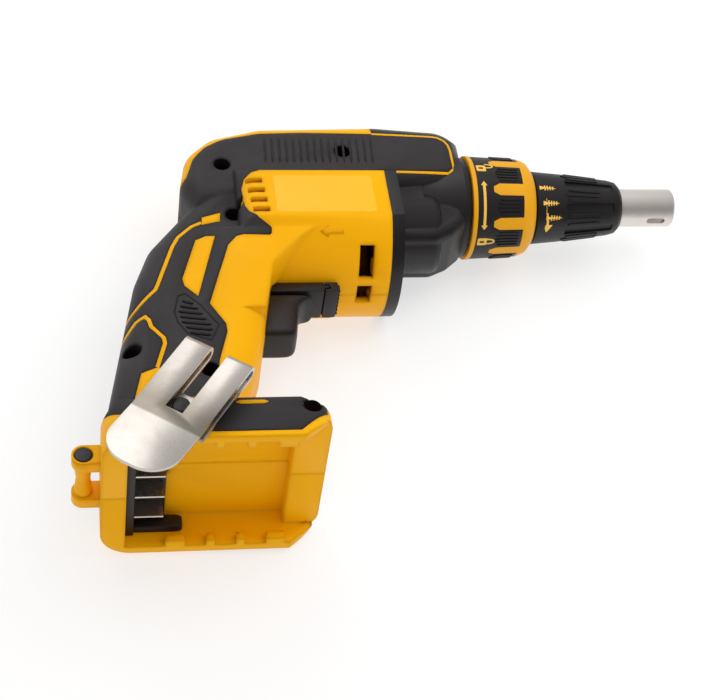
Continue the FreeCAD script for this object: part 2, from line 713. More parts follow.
def nose_tube():
    """Steel nose tube with its view slots."""
    tail = collar_front - d.tube_tail
    tube = turned("nose_tube_blank", [
        (0, d.tube_bore),
        (0, d.tube_radius - d.tube_chamfer),
        (-d.tube_chamfer, d.tube_radius),
        (tail, d.tube_radius),
        (tail, d.tube_rear_bore),
        (-d.tube_bore_length, d.tube_rear_bore),
        (-d.tube_bore_length, d.tube_bore),
    ])
    half = d.slot_width / 2
    front = -d.slot_setback - half
    rear = front - d.slot_length + d.slot_width
    slot = fuse(
        "tube_slot",
        box("tube_slot_middle", (rear, -FAR / 2, -half), (front, FAR / 2, half)),
        cylinder("tube_slot_front", "y", half, (front, -FAR / 2, 0), FAR),
        cylinder("tube_slot_rear", "y", half, (rear, -FAR / 2, 0), FAR),
    )
    node(cut("nose_tube_cut", tube, slot), "nose_tube")


def depth_collar():
    """Black collar that screws the nose tube in and out."""
    guide_front = collar_front - d.collar_mouth
    pads_rear = collar_rear + d.collar_band
    pads_front = collar_front - d.collar_lip
    sleeve = d.tube_radius + d.running_fit + d.guide_wall + d.running_fit
    collar = turned("depth_collar_blank", [
        (collar_front, d.tube_radius + d.running_fit),
        (collar_front, d.tube_radius + d.collar_mouth_wall),
        (collar_front - d.collar_lip_run, d.collar_front_radius - d.collar_lip_step),
        (pads_front, d.collar_front_radius),
        (pads_rear, d.collar_waist_radius),
        (collar_rear + d.collar_edge, d.collar_rear_radius),
        (collar_rear, d.collar_rear_radius - d.collar_edge),
        (collar_rear, sleeve),
        (guide_front, sleeve),
        (guide_front, d.tube_radius + d.running_fit),
    ])
    rear_floor = d.collar_waist_radius - d.valley_depth
    front_floor = d.collar_front_radius - d.valley_depth
    valley = pocket(collar, "collar_valley", "XY_Plane", [
        (pads_rear - d.valley_run, rear_floor),
        (pads_front + d.valley_run, front_floor),
        (pads_front + d.valley_run, d.collar_rear_radius * 2),
        (pads_rear - d.valley_run, d.collar_rear_radius * 2),
    ], d.valley_width, both=True)
    polar(collar, "collar_valleys", [valley], d.pad_count)
    node(collar, "depth_collar")


def lock_ring():
    """Lock ring with its two-shot trim."""
    bore = d.ring_rear_radius - d.ring_wall
    taper_rear = ring_front - d.ring_taper
    lip_rear = ring_front - d.ring_lip
    lip_bore = d.tube_radius + d.running_fit + d.guide_wall + d.nose_gap
    middle = ring_front - d.ring_taper_middle

    def profile(drawn_in, inner, lip):
        return [
            (ring_rear, inner),
            (ring_rear, d.ring_rear_radius - drawn_in),
            (taper_rear, d.ring_front_radius - drawn_in),
            (middle, d.ring_middle_radius - drawn_in),
            (ring_front, d.ring_nose_radius - drawn_in),
            (ring_front, lip),
            (lip_rear, lip),
            (lip_rear, inner),
        ]

    blank = turned("lock_ring_blank", profile(0, bore, lip_bore))
    core = turned("lock_ring_core", profile(d.trim_depth, bore / 2, lip_bore / 2))
    rim_rear = ring_front - d.trim_rim
    finger_rear = rim_rear - d.finger_reach
    half = d.finger_width / 2
    tool = ring("trim_tool", rim_rear, ring_front + OVERCUT, d.tube_radius, d.ring_rear_radius * 2)
    finger = pad(tool, "trim_finger", "XY_Plane", [
        (finger_rear + half, -half),
        (ring_front, -half),
        (ring_front, half),
        (finger_rear + half, half),
        (finger_rear, d.finger_tip / 2),
        (finger_rear, -d.finger_tip / 2),
    ], d.ring_rear_radius * 2)
    polar(tool, "trim_fingers", [finger], d.finger_count)
    tool.Placement.Rotation = Rotation(Vector(1, 0, 0), float(d.finger_turn))
    settle(tool)
    trim = cut("lock_ring_trim_front", common("trim_shell", blank, tool), core)
    band_front = ring_rear - d.band_length
    band = ring("lock_ring_band", band_front, ring_rear, bore, d.ring_rear_radius + d.band_standout)
    node(cut("lock_ring_body", blank, trim), "lock_ring")
    node(group("lock_ring_trim_group", [trim, band]), "lock_ring_trim")


def nose_base():
    """Sleeve that carries the nose piece on the gear case spigot."""
    guide_bore = d.tube_radius + d.running_fit
    guide = guide_bore + d.guide_wall
    rear = case_front + d.nose_gap
    step = spigot_front + d.end_gap
    face = ring_front - d.ring_lip - d.end_play
    tip = collar_front - d.collar_mouth - d.nose_gap
    outer = d.ring_rear_radius - d.ring_wall - d.running_fit
    node(turned("nose_base_body", [
        (rear, d.spigot_radius + d.running_fit),
        (step, d.spigot_radius + d.running_fit),
        (step, guide_bore),
        (tip, guide_bore),
        (tip, guide),
        (face, guide),
        (face, outer),
        (rear, outer),
    ]), "nose_base")


def gear_outline(teeth, shift):
    """Closed wire of an involute gear, from the gear sizes in the sheet."""
    module = float(d.gear_module)
    alpha = math.radians(float(d.pressure_angle))
    pitch = module * teeth / 2
    base = pitch * math.cos(alpha)
    tip = pitch + module * (float(d.tooth_addendum) + shift)
    root = pitch - module * (float(d.tooth_dedendum) - shift)
    flat = math.tan(alpha) - alpha
    half_tooth = (math.pi / 2 + 2 * shift * math.tan(alpha)) / teeth + flat
    half_tooth -= float(d.backlash) / (2 * pitch)

    def flank(radius):
        angle = math.acos(min(1.0, base / radius))
        return half_tooth - (math.tan(angle) - angle)

    start = max(base, root + float(d.root_ease) * module)
    radii = [start + (tip - start) * step / 3 for step in range(4)]
    points = []
    for tooth in range(teeth):
        middle = 2 * math.pi * tooth / teeth
        rising = [(root, middle - flank(start))] + [(r, middle - flank(r)) for r in radii]
        falling = [(r, 2 * middle - angle) for r, angle in reversed(rising)]
        points += rising + falling
    ring_points = [Vector(0, r * math.cos(a), r * math.sin(a)) for r, a in points]
    return Part.makePolygon(ring_points + ring_points[:1])


def gear_solid(teeth, shift, start, end, height, turn_degrees):
    """Straight-toothed gear between two places along X."""
    wire = gear_outline(teeth, shift)
    solid = Part.Face(wire).extrude(Vector(float(end) - float(start), 0, 0))
    solid.rotate(Vector(), Vector(1, 0, 0), turn_degrees)
    solid.translate(Vector(float(start), float(height), 0))
    return solid


def dogs(body, name, level, against):
    """Clutch dogs on one face of a turned body."""
    half = d.dog_width / 2
    dog = pad(body, name, "YZ_Plane", [
        (d.dog_inner, -half),
        (d.dog_outer, -half),
        (d.dog_outer, half),
        (d.dog_inner, half),
    ], d.dog_height, level, against=against)
    polar(body, f"{name}_all", [dog], d.dog_count)


def drive_gear():
    """Gear that the pinion turns, with clutch dogs on its front."""
    teeth = int(float(d.gear_teeth))
    shift = float(d.profile_shift)
    bore = d.stub_radius + d.running_fit
    # The gear's tooth space faces the pinion's tooth at rest.
    turn = 180.0 / teeth
    toothed = free_shape("gear_teeth_ring", gear_solid(teeth, -shift, gear_back, gear_front, 0, turn + 180.0))
    hub = ring("gear_hub", joint, gear_back, bore, d.hub_radius)
    web = ring("gear_web", gear_back, gear_front, bore, d.dog_outer)
    dogs(web, "gear_dogs", gear_front, against=False)
    bore_tool = cylinder("gear_bore", "x", bore, (joint - OVERCUT, 0, 0), FAR)
    node(fuse("drive_gear_body", cut("gear_teeth_bored", toothed, bore_tool), hub, web), "drive_gear")


def pinion():
    """Pinion on the tip of the rotor shaft."""
    teeth = int(float(d.pinion_teeth))
    solid = gear_solid(teeth, float(d.profile_shift), gear_back, gear_front, motor_y, 0.0)
    blank = free_shape("pinion_teeth_ring", solid)
    bore = cylinder("pinion_bore", "x", d.shaft_tip_radius, (gear_back - OVERCUT, motor_y, 0), FAR)
    node(cut("pinion_body", blank, bore), "pinion")


def biarc(start, start_way, end, end_way):
    """Two tangent arcs between two places with given directions."""
    chord = end - start
    ways = start_way + end_way
    gain = 2 * (1 - start_way.dot(end_way))
    along = chord.dot(ways)
    reach = (-along + math.sqrt(along ** 2 + gain * chord.dot(chord))) / gain
    first = start + start_way * reach
    second = end - end_way * reach
    meet = (first + second) * 0.5

    def arc(begin, corner, finish):
        middle = (begin + finish) * 0.5
        leg = (corner - begin).Length
        half = (finish - begin).Length / 2
        rise = (corner - middle).Length
        centre_angle = math.atan2(half, rise)
        radius = leg * math.tan(centre_angle)
        sag = radius - math.sqrt(max(radius ** 2 - half ** 2, 0.0))
        top = middle + (corner - middle).normalize() * sag
        return Part.Arc(begin, top, finish).toShape()

    return [arc(start, first, meet), arc(meet, second, end)]


def clutch_spring():
    """Coil spring that holds the clutch apart."""
    radius = float(d.spring_radius)
    wire = float(d.spring_wire)
    turns = int(float(d.spring_turns))
    seat_gap = float(d.spring_seat_gap)
    start = float(gear_front) + wire / 2 + seat_gap
    end = float(clutch_back) - float(d.washer_thickness) - wire / 2 - seat_gap
    quarters = turns * 4
    rise = (end - start) / quarters

    def place(quarter):
        angle = quarter * math.pi / 2
        return Vector(start + rise * quarter, radius * math.cos(angle), radius * math.sin(angle))

    def way(quarter):
        angle = quarter * math.pi / 2
        step = radius * math.pi / 2
        return Vector(rise, -step * math.sin(angle), step * math.cos(angle)).normalize()

    edges = []
    for quarter in range(quarters):
        edges += biarc(place(quarter), way(quarter), place(quarter + 1), way(quarter + 1))
    path = Part.Wire(edges)
    section = Part.Wire(Part.makeCircle(wire / 2, place(0), way(0)))
    coil = path.makePipeShell([section], True, False)
    pitch_gap = rise * 4 - wire
    print(f"clutch spring: gap between turns {pitch_gap:.2f} mm")
    node(free_shape("clutch_spring_coil", coil), "clutch_spring")


def spindle():
    """Output spindle with clutch flange, bit socket and spring ring."""
    stub_rear = gear_back
    ring_front_x = -d.socket_front - d.bit_ring_setback
    ring_rear_x = ring_front_x - d.bit_ring_width
    groove = d.socket_radius - d.bit_ring_depth
    body = turned("spindle_blank", [
        (stub_rear, 0),
        (stub_rear, d.stub_radius),
        (clutch_back, d.stub_radius),
        (clutch_back, d.dog_outer),
        (clutch_front, d.dog_outer),
        (clutch_front, d.spindle_radius),
        (-d.socket_back, d.spindle_radius),
        (-d.socket_back, d.socket_radius),
        (ring_rear_x, d.socket_radius),
        (ring_rear_x, groove),
        (ring_front_x, groove),
        (ring_front_x, d.socket_radius),
        (-d.socket_front, d.socket_radius),
        (-d.socket_front, 0),
    ])
    dogs(body, "spindle_dogs", clutch_back, against=True)
    corner = d.hex_across / math.sqrt(3)
    hexagon = [
        (corner * math.cos(math.radians(60 * i)), corner * math.sin(math.radians(60 * i)))
        for i in range(6)
    ]
    pocket(body, "bit_socket", "YZ_Plane", hexagon, d.hex_depth, -d.socket_front)
    node(body, "spindle")
    rim_radius = d.socket_radius + d.band_standout
    node(ring("bit_ring_body", ring_rear_x, ring_front_x, groove, rim_radius), "bit_ring")
    washer_back = clutch_back - d.washer_thickness
    node(ring("washer_body", washer_back, clutch_back, d.stub_radius + d.running_fit, d.washer_radius),
         "thrust_washer")
    seal_rear = spigot_front - d.seal_length
    sleeve = d.spindle_radius + d.running_fit
    node(ring("bush_body", bush_rear, seal_rear, sleeve, d.bush_radius), "spindle_bush")
    node(ring("seal_body", seal_rear, spigot_front, sleeve, d.bush_radius), "spindle_seal")


def barrel_section(name, drawn_in, front, rear):
    """A length of the motor barrel: a round with flat sides and sloping shoulders."""
    round_part = cylinder(f"{name}_round", "x", d.barrel_radius - drawn_in, (rear, motor_y, 0), front - rear)
    side = d.barrel_half_width - drawn_in
    shoulder = motor_y + d.barrel_shoulder - drawn_in * HALF_SHOULDER
    top = d.beam_half_width - drawn_in - d.barrel_tuck
    crest = shoulder + (side - top)
    low = motor_y - d.barrel_radius - OVERCUT
    section = new_body(f"{name}_section")
    pad(section, f"{name}_section_pad", "YZ_Plane", [
        (low, -side),
        (low, side),
        (shoulder, side),
        (crest, top),
        (crest, -top),
        (shoulder, -side),
    ], front - rear, rear)
    return common(name, round_part, section)


def barrel(name, drawn_in, front, rear):
    """Motor barrel with rounded rear corners."""
    side = d.barrel_half_width - drawn_in
    low = motor_y - d.barrel_radius - OVERCUT
    plan = new_body(f"{name}_plan")
    corners = [(rear, -side), (front, -side), (front, side), (rear, side)]
    plan_pad = pad(plan, f"{name}_plan_pad", "XZ_Plane", corners, d.barrel_radius * 3, -low, against=True)
    rear_edges = edges_through(plan_pad.Shape, [corners[0], corners[3]], axes=(0, 2))
    rounded(plan, f"{name}_rear_round", plan_pad, rear_edges, d.barrel_round - drawn_in)
    return common(name, barrel_section(f"{name}_length", drawn_in, front, rear), plan)


def beam_corners():
    """Corners of the beam's outline, from its lower front round over the top."""
    top = d.beam_height
    return [
        (case_front, -d.beam_sink),
        (case_front, top - d.beam_brow_drop),
        (case_front - d.beam_slope_run, top - d.beam_slope_drop),
        (case_front - d.beam_crown_run, top),
        (heel_x + d.beam_hip_run, top - d.beam_hip_drop),
        (heel_x + d.beam_shoulder_run, top - d.beam_shoulder_drop),
        (heel_x + d.beam_back_run, top - d.beam_back_drop),
        (heel_x, -d.heel_drop),
        (heel_x + d.web_run, -d.web_drop),
    ]


def inset(corners, depth):
    """Draw an outline in by a depth, and tell which of its corners point outwards."""
    places = [Vector(float(x), float(y), 0) for x, y in corners]
    count = len(places)
    area = sum(a.x * b.y - b.x * a.y for a, b in zip(places, places[1:] + places[:1]))
    side = 1.0 if area > 0 else -1.0
    drawn, outward = [], []
    for i, (x, y) in enumerate(corners):
        into = (places[i] - places[i - 1]).normalize()
        out = (places[(i + 1) % count] - places[i]).normalize()
        bisector = Vector(-into.y - out.y, into.x + out.x, 0) * side
        reach = 1.0 / (1.0 + into.dot(out))
        drawn.append((x + depth * (bisector.x * reach), y + depth * (bisector.y * reach)))
        outward.append((into.x * out.y - into.y * out.x) * side > 0)
    return drawn, outward


def rounded_block(name, outline_corners, chosen, half_width, corner, edge, drawn_in, open_ends=False):
    """A padded outline with rounded corners and edges, drawn in all over by a depth.

    With open ends, the level edges at the top and bottom stay sharp.
    """
    corners, outward = inset(outline_corners, as_size(drawn_in))
    half = half_width - drawn_in
    body = new_body(name)
    last = pad(body, f"{name}_pad", "XY_Plane", corners, half * 2, both=True)
    for points_out, radius in ((True, corner - drawn_in), (False, corner + drawn_in)):
        places = [corners[i] for i in chosen if outward[i] == points_out]
        if places:
            edges = edges_through(last.Shape, places)
            last = rounded(body, f"{name}_corners_{points_out}", last, edges, radius)
    long_edges = [edge_name for edge_name in edges_on(last.Shape, 2, half)
                  if not open_ends or last.Shape.getElement(edge_name).BoundBox.YLength > 0.01]
    rounded(body, f"{name}_edges", last, long_edges, edge - drawn_in)
    return body


def beam_block(name, drawn_in):
    """The whole top beam, before it is shared between housing and gear case."""
    return rounded_block(name, beam_corners(), range(2, 8), d.beam_half_width, d.beam_corner, d.beam_round,
                         drawn_in)


def handle_corners():
    """Corners of the handle's outline: down the back, then up the front."""
    back = d.places("handle_back")
    front = d.places("handle_front")
    ankle = front[0][0] - d.ankle_run
    foot = [
        (foot_rear, foot_top - d.housing_wall),
        (ankle - d.ankle_step, foot_top - d.housing_wall),
        (ankle, foot_top + d.ankle_height),
    ]
    return back + foot + front


def handle_block(name, drawn_in):
    """The whole handle."""
    chosen = (1, 2, 5, 6, 7, 8)
    return rounded_block(name, handle_corners(), chosen, d.handle_half_width, d.handle_corner, d.handle_round,
                         drawn_in, open_ends=True)


def neck_block(name, drawn_in):
    """Tapered neck that leads the barrel's flanks down and back into the handle's."""
    depth = as_size(drawn_in)
    wide = d.neck_half_width
    narrow = d.handle_half_width - d.neck_tuck
    rear = joint - d.neck_reach
    front = joint - d.neck_front
    low = -d.neck_low
    side, _ = inset(d.places("neck"), depth)
    end, _ = inset([(-d.neck_high, -narrow), (-d.neck_crest, -wide), (low, -narrow),
                    (low, narrow), (-d.neck_crest, wide), (-d.neck_high, narrow)], depth)
    plan, _ = inset([(rear, -narrow), (joint - d.neck_shoulder, -wide), (front, -wide),
                     (front, wide), (joint - d.neck_shoulder, wide), (rear, narrow)], depth)
    end_body = new_body(f"{name}_end")
    pad(end_body, f"{name}_end_pad", "YZ_Plane", end, d.neck_reach, rear)
    plan_body = new_body(f"{name}_plan")
    pad(plan_body, f"{name}_plan_pad", "XZ_Plane", plan, d.neck_low, d.neck_low, against=True)
    flanks = common(f"{name}_flanks", end_body, plan_body)
    return common(name, prism(f"{name}_side", side, SIDE_REACH), flanks)


def foot_block(name, drawn_in):
    """The battery foot as a plain block."""
    toe = foot_front - d.foot_toe_run
    side = [
        (foot_rear + drawn_in, foot_rim),
        (foot_rear + drawn_in, foot_top - d.foot_heel_drop),
        (foot_rear + d.foot_heel_run, foot_top - drawn_in),
        (toe, foot_top - drawn_in),
        (foot_front - drawn_in, foot_top - d.foot_toe_drop),
        (foot_front - drawn_in, foot_rim + d.foot_toe_rise),
        (toe, foot_rim),
    ]
    half = d.foot_half_width - drawn_in
    body = new_body(f"{name}_side")
    first = pad(body, f"{name}_side_pad", "XY_Plane", side, half * 2, both=True)
    shoulder = float(foot_top - d.foot_toe_drop)
    upper = [name for name in edges_on(first.Shape, 2, half)
             if first.Shape.getElement(name).BoundBox.YMin > shoulder - 1e-3]
    rounded(body, f"{name}_side_round", first, upper, d.foot_edge)
    plan = new_body(f"{name}_plan")
    corners = [
        (foot_rear + drawn_in, -half),
        (foot_front - drawn_in, -half),
        (foot_front - drawn_in, half),
        (foot_rear + drawn_in, half),
    ]
    level = -foot_rim
    height = d.foot_height + OVERCUT
    plan_pad = pad(plan, f"{name}_plan_pad", "XZ_Plane", corners, height, level, against=True)
    rear = edges_through(plan_pad.Shape, [corners[0], corners[3]], axes=(0, 2))
    rear_round = rounded(plan, f"{name}_rear_round", plan_pad, rear, d.foot_rear_corner)
    front = edges_through(rear_round.Shape, corners[1:3], axes=(0, 2))
    rounded(plan, f"{name}_front_round", rear_round, front, d.foot_front_corner)
    return common(name, body, plan)


def motor():
    """Stator, windings, rotor, fan and the two motor bearings."""
    yoke_bore = d.stator_radius - d.stator_yoke
    core = ring("stator_blank", stator_rear, stator_front, yoke_bore, d.stator_radius, motor_y)
    half = d.tooth_width / 2
    tooth = pad(core, "stator_tooth", "YZ_Plane", [
        (d.stator_bore, -half),
        (yoke_bore + OVERCUT, -half),
        (yoke_bore + OVERCUT, half),
        (d.stator_bore, half),
    ], d.stator_length, stator_rear)
    polar(core, "stator_teeth", [tooth], d.tooth_count)
    node(core, "stator_core")
    coils = []
    low = d.stator_bore + d.coil_clearance
    high = yoke_bore - d.coil_clearance - d.coil_thickness
    outer = half + d.coil_thickness
    for number in range(int(float(d.tooth_count))):
        coil = new_body(f"stator_coil_{number}")
        pad(coil, f"coil_{number}", "XY_Plane", [
            (stator_rear - d.coil_overhang, low),
            (stator_front + d.coil_overhang, low),
            (stator_front + d.coil_overhang, high),
            (stator_rear - d.coil_overhang, high),
        ], outer * 2, both=True)
        pocket(coil, f"coil_window_{number}", "XY_Plane", [
            (stator_rear, low - OVERCUT),
            (stator_front, low - OVERCUT),
            (stator_front, high + OVERCUT),
            (stator_rear, high + OVERCUT),
        ], d.tooth_width, both=True)
        coil.Placement.Rotation = Rotation(Vector(1, 0, 0), 360.0 * number / float(d.tooth_count))
        bind(coil, "Placement.Base.y", motor_y)
        settle(coil)
        coils.append(coil)
    node(group("stator_coil_group", coils), "stator_coils")
    sensor_rear = sensor_front - d.board_thickness
    node(ring("sensor_body", sensor_rear, sensor_front, d.sensor_bore, d.sensor_radius, motor_y),
         "sensor_board")

    core_radius = d.rotor_radius - d.magnet_thickness
    node(ring("rotor_body", stator_rear, stator_front, d.shaft_core_radius, core_radius, motor_y),
         "rotor_core")
    node(ring("magnet_body", stator_rear, stator_front, core_radius, d.rotor_radius, motor_y),
         "rotor_magnets")
    fan_front = joint - d.fan_setback
    fan_rear = fan_front - d.fan_length
    core_front = fan_front + d.shaft_shoulder
    node(turned("shaft_body", [
        (rear_bearing_back, 0),
        (rear_bearing_back, d.shaft_radius),
        (rear_bearing_front, d.shaft_radius),
        (rear_bearing_front, d.shaft_core_radius),
        (core_front, d.shaft_core_radius),
        (core_front, d.shaft_radius),
        (joint + d.bearing_width, d.shaft_radius),
        (joint + d.bearing_width, d.shaft_tip_radius),
        (gear_front, d.shaft_tip_radius),
        (gear_front, 0),
    ], motor_y), "rotor_shaft")
    node(ring("rear_bearing_body", rear_bearing_back, rear_bearing_front, d.shaft_radius,
              d.bearing_radius, motor_y), "rear_bearing")
    node(ring("front_bearing_body", joint, joint + d.bearing_width, d.shaft_radius, d.bearing_radius,
              motor_y),
         "front_bearing")
    fan = ring("fan_blank", fan_rear, fan_front, d.shaft_core_radius, d.fan_hub, motor_y)
    blade = pad(fan, "fan_blade", "YZ_Plane", [
        (d.fan_hub - OVERCUT, -d.blade_root),
        (d.fan_radius, -d.blade_sweep - d.blade_tip),
        (d.fan_radius, -d.blade_sweep + d.blade_tip),
        (d.fan_hub - OVERCUT, d.blade_root),
    ], d.fan_length, fan_rear)
    polar(fan, "fan_blade_all", [blade], d.fan_blades)
    plate = ring("fan_plate", fan_rear, fan_rear + d.fan_disc, d.shaft_core_radius, d.fan_radius, motor_y)
    node(fuse("fan_body", fan, plate), "cooling_fan")


def bearing_plate():
    """Plate between motor and gears, with the drive gear's bearing."""
    front = joint + d.plate_thickness
    blank = ring("plate_blank", joint, front, d.bearing_radius, d.plate_radius, motor_y)
    seat = cylinder("gear_bearing_seat", "x", d.bearing_radius, (joint - OVERCUT, 0, 0), FAR)
    node(cut("plate_body", common("plate_flat", blank, plate_width("plate_sides")), seat), "bearing_plate")
    bore = d.hub_radius + d.running_fit
    node(ring("gear_bearing_body", joint, joint + d.bearing_width, bore, d.bearing_radius), "gear_bearing")


def plate_width(name):
    """Slab between the flats of the bearing plate."""
    half = d.plate_half_width
    return box(name, (joint - FAR, -FAR, -half), (joint + FAR, FAR, half))


def case_screw_places():
    """Heights and sides of the gear case screws."""
    side = (motor_y - d.case_screw_drop, d.case_screw_side)
    under = (motor_y - d.case_screw_low, d.case_screw_low_side)
    return [(y, z * sign) for y, z in (side, under) for sign in (1, -1)]


def gear_case(beam, beam_hollow, tongue):
    """Black gear case with flange, pinion bulge, domed front and spigot."""
    flange_front = joint + d.flange_thickness
    flange = barrel_section("case_flange", 0, flange_front, joint)
    swell = d.places("dome")
    dome = turned("case_dome", [
        (joint, 0),
        (joint, d.case_half_width),
        *swell,
        (case_front, d.dome_mouth_radius),
        (case_front, d.spigot_radius),
        (spigot_front, d.spigot_radius),
        (spigot_front, 0),
    ])
    web = box("case_web", (joint, motor_y - d.web_drop_low, -d.case_half_width),
              (swell[0][0], 0, d.case_half_width))
    chin = rounded_block("case_chin", d.places("chin"), (2, 3, 4), d.chin_half_width, d.chin_corner,
                         d.chin_round, 0)
    boss_front = flange_front + d.boss_length
    boss = turned("case_boss", [
        (joint, 0),
        (joint, d.boss_radius),
        (boss_front - d.boss_round, d.boss_radius),
        (boss_front - d.boss_shoulder, d.boss_radius - d.boss_shoulder),
        (boss_front, d.boss_radius - d.boss_round),
        (boss_front, 0),
    ], motor_y)
    ahead = box("ahead_of_joint", (joint, -FAR, -FAR), (joint + FAR, FAR, FAR))
    hump = common("case_hump", beam, ahead)
    hollow_top = common("case_hollow_top", beam_hollow, box(
        "case_hollow_room", (joint - OVERCUT, d.gear_room + d.hollow_wall, -FAR), (bush_rear, FAR, FAR)))
    rooms = [
        cylinder("gear_cavity", "x", d.gear_room, (joint - OVERCUT, 0, 0), bush_rear - joint + OVERCUT),
        cylinder("pinion_cavity", "x", d.pinion_room, (joint - OVERCUT, motor_y, 0),
                 gear_front - joint + OVERCUT * 2),
        common("plate_seat", plate_width("plate_seat_sides"), cylinder(
            "plate_seat_round", "x", d.plate_radius, (joint - OVERCUT, motor_y, 0),
            d.plate_thickness + OVERCUT)),
        cylinder("front_bearing_seat", "x", d.bearing_radius, (joint - OVERCUT, motor_y, 0),
                 d.bearing_width + OVERCUT),
        cylinder("bush_seat", "x", d.bush_radius, (bush_rear - OVERCUT, 0, 0), FAR),
    ]
    screws = []
    holes = []
    for number, (y, z) in enumerate(case_screw_places()):
        seat = joint + d.flange_thickness - d.case_screw_head
        start = (joint - OVERCUT, y, z)
        holes.append(cylinder(f"case_screw_hole_{number}", "x", d.case_screw_radius, start, FAR))
        recess = d.case_screw_head_radius + d.screw_clearance
        holes.append(cylinder(f"case_screw_recess_{number}", "x", recess, (seat, y, z), FAR))
        shank_start = joint - d.case_screw_reach
        shank = cylinder(f"case_screw_shank_{number}", "x", d.case_screw_radius, (shank_start, y, z),
                         seat - shank_start)
        head = cylinder(f"case_screw_head_{number}", "x", d.case_screw_head_radius, (seat, y, z),
                        d.case_screw_head)
        screws.append(fuse(f"case_screw_{number}", shank, head))
    outer = fuse("case_outer", flange, dome, web, chin, boss, hump)
    node(cut("case_body", outer, *rooms, *holes, hollow_top, tongue), "gear_case")
    node(group("case_screw_group", screws), "gear_case_screws")


def strip_outline(centres, width):
    """Outline of a line of even width along some corners."""
    half = float(width) / 2
    points = [Vector(float(x), float(y), 0) for x, y in centres]
    ways = [(b - a).normalize() for a, b in zip(points, points[1:])]
    left, right = [], []
    for number, (x, y) in enumerate(centres):
        before = ways[max(number - 1, 0)]
        after = ways[min(number, len(ways) - 1)]
        middle = (before + after).normalize()
        reach = half / middle.dot(after)
        left.append((x - middle.y * reach, y + middle.x * reach))
        right.append((x + middle.y * reach, y - middle.x * reach))
    return left + right[::-1]


def quarter_turns():
    """Angles that share a quarter turn into even steps."""
    return [math.pi / 2 * step / CURVE_STEPS for step in range(CURVE_STEPS + 1)]


def tongue_outline(drawn_in, rear):
    """Side view of the housing tongue along the gear case, drawn in by a depth."""
    front = joint + d.tongue_length - drawn_in
    low = d.tongue_low + drawn_in
    high = d.tongue_high - d.tongue_fall - drawn_in
    radius = d.tongue_corner - drawn_in
    turns = quarter_turns()
    arc = [(front - radius * (1 - math.cos(a)), high - radius * (1 - math.sin(a))) for a in turns]
    toe = [(rear, low), (front - d.tongue_toe, low), (front, low + d.tongue_toe)]
    return toe + arc + [(rear, d.tongue_high - drawn_in)]


def grip_area():
    """Side view of the rubber over-mould, with the bare lines and panel cut out of it."""
    pad_outline = tongue_outline(d.trim_line, joint - OVERCUT)
    rear_x = foot_rear - d.foot_length / 2
    low = foot_top + d.end_gap
    rear = [(rear_x, foot_top / 4), (rear_x, low), (foot_front - d.foot_length / 2, low)]
    body_outline = d.places("grip_top") + rear + d.places("grip_front")
    rubber = fuse("grip_rubber", prism("grip_pad", pad_outline, SIDE_REACH),
                  prism("grip_main", body_outline, SIDE_REACH))
    bare = [
        prism("upper_line", strip_outline(d.places("upper_line"), d.grip_line), SIDE_REACH),
        prism("upper_tab", d.places("upper_tab"), SIDE_REACH),
        prism("lower_line", strip_outline(d.places("lower_line"), d.grip_line), SIDE_REACH),
        prism("lower_patch", d.places("lower_patch"), SIDE_REACH),
        prism("grip_panel", d.places("grip_panel"), SIDE_REACH),
    ]
    return cut("grip_area", rubber, *bare)


def screw_tools():
    """Clamshell screws with the holes they need in the right and left halves."""
    screws, right, left = [], [], []
    tip = d.screw_seat - d.screw_length
    for number, (x, y) in enumerate(d.places("screw")):
        shank = cylinder(f"screw_shank_{number}", "z", d.screw_radius, (x, y, tip), d.screw_length)
        head = cylinder(f"screw_head_{number}", "z", d.screw_head_radius, (x, y, d.screw_seat),
                        d.screw_head_height)
        screws.append(fuse(f"screw_{number}", shank, head))
        recess = d.screw_head_radius + d.screw_clearance
        right.append(cylinder(f"screw_recess_{number}", "z", recess, (x, y, d.screw_seat), FAR))
        right.append(cylinder(f"screw_way_{number}", "z", d.screw_radius, (x, y, -OVERCUT), FAR))
        left.append(cylinder(f"screw_thread_{number}", "z", d.screw_radius, (x, y, tip), d.screw_length))
    return screws, right, left


def dock_tools():
    """Room for the battery: the dock, its front way in and the rail notches."""
    half = d.foot_half_width - d.dock_wall
    floor = foot_top - d.dock_floor
    rear = foot_rear + d.dock_rear
    front = foot_front - d.dock_front
    under = foot_rim - OVERCUT
    way_in = box("dock_way_in", (front - OVERCUT, under, -half),
                 (foot_front + OVERCUT, foot_top - d.lip_height, half))
    main = box("dock_room", (rear, under, -half), (front, floor, half))
    return fuse("dock", main, way_in)


def rails():
    """Battery rails along the dock's rim, with their notches."""
    half = d.foot_half_width - d.dock_wall
    rear = foot_rear + d.dock_rear + d.block_length
    front = foot_front - d.dock_front
    solids = []
    for sign, name in ((1, "right"), (-1, "left")):
        levels = sorted((sign * (half - d.rail_depth), sign * (half + OVERCUT)), key=float)
        rail = box(f"rail_{name}", (rear, foot_rim, levels[0]), (front, foot_rim + d.rail_height, levels[1]))
        pitch = (front - rear) / (d.notch_count + 1)
        notches = []
        for number in range(int(float(d.notch_count))):
            middle = rear + pitch * (number + 1)
            notches.append(box(
                f"notch_{name}_{number}",
                (middle - d.notch_length / 2, foot_rim - OVERCUT, levels[0] - OVERCUT),
                (middle + d.notch_length / 2, foot_rim + d.rail_height + OVERCUT, levels[1] + OVERCUT),
            ))
        solids.append(cut(f"rail_{name}_notched", rail, *notches))
    return solids


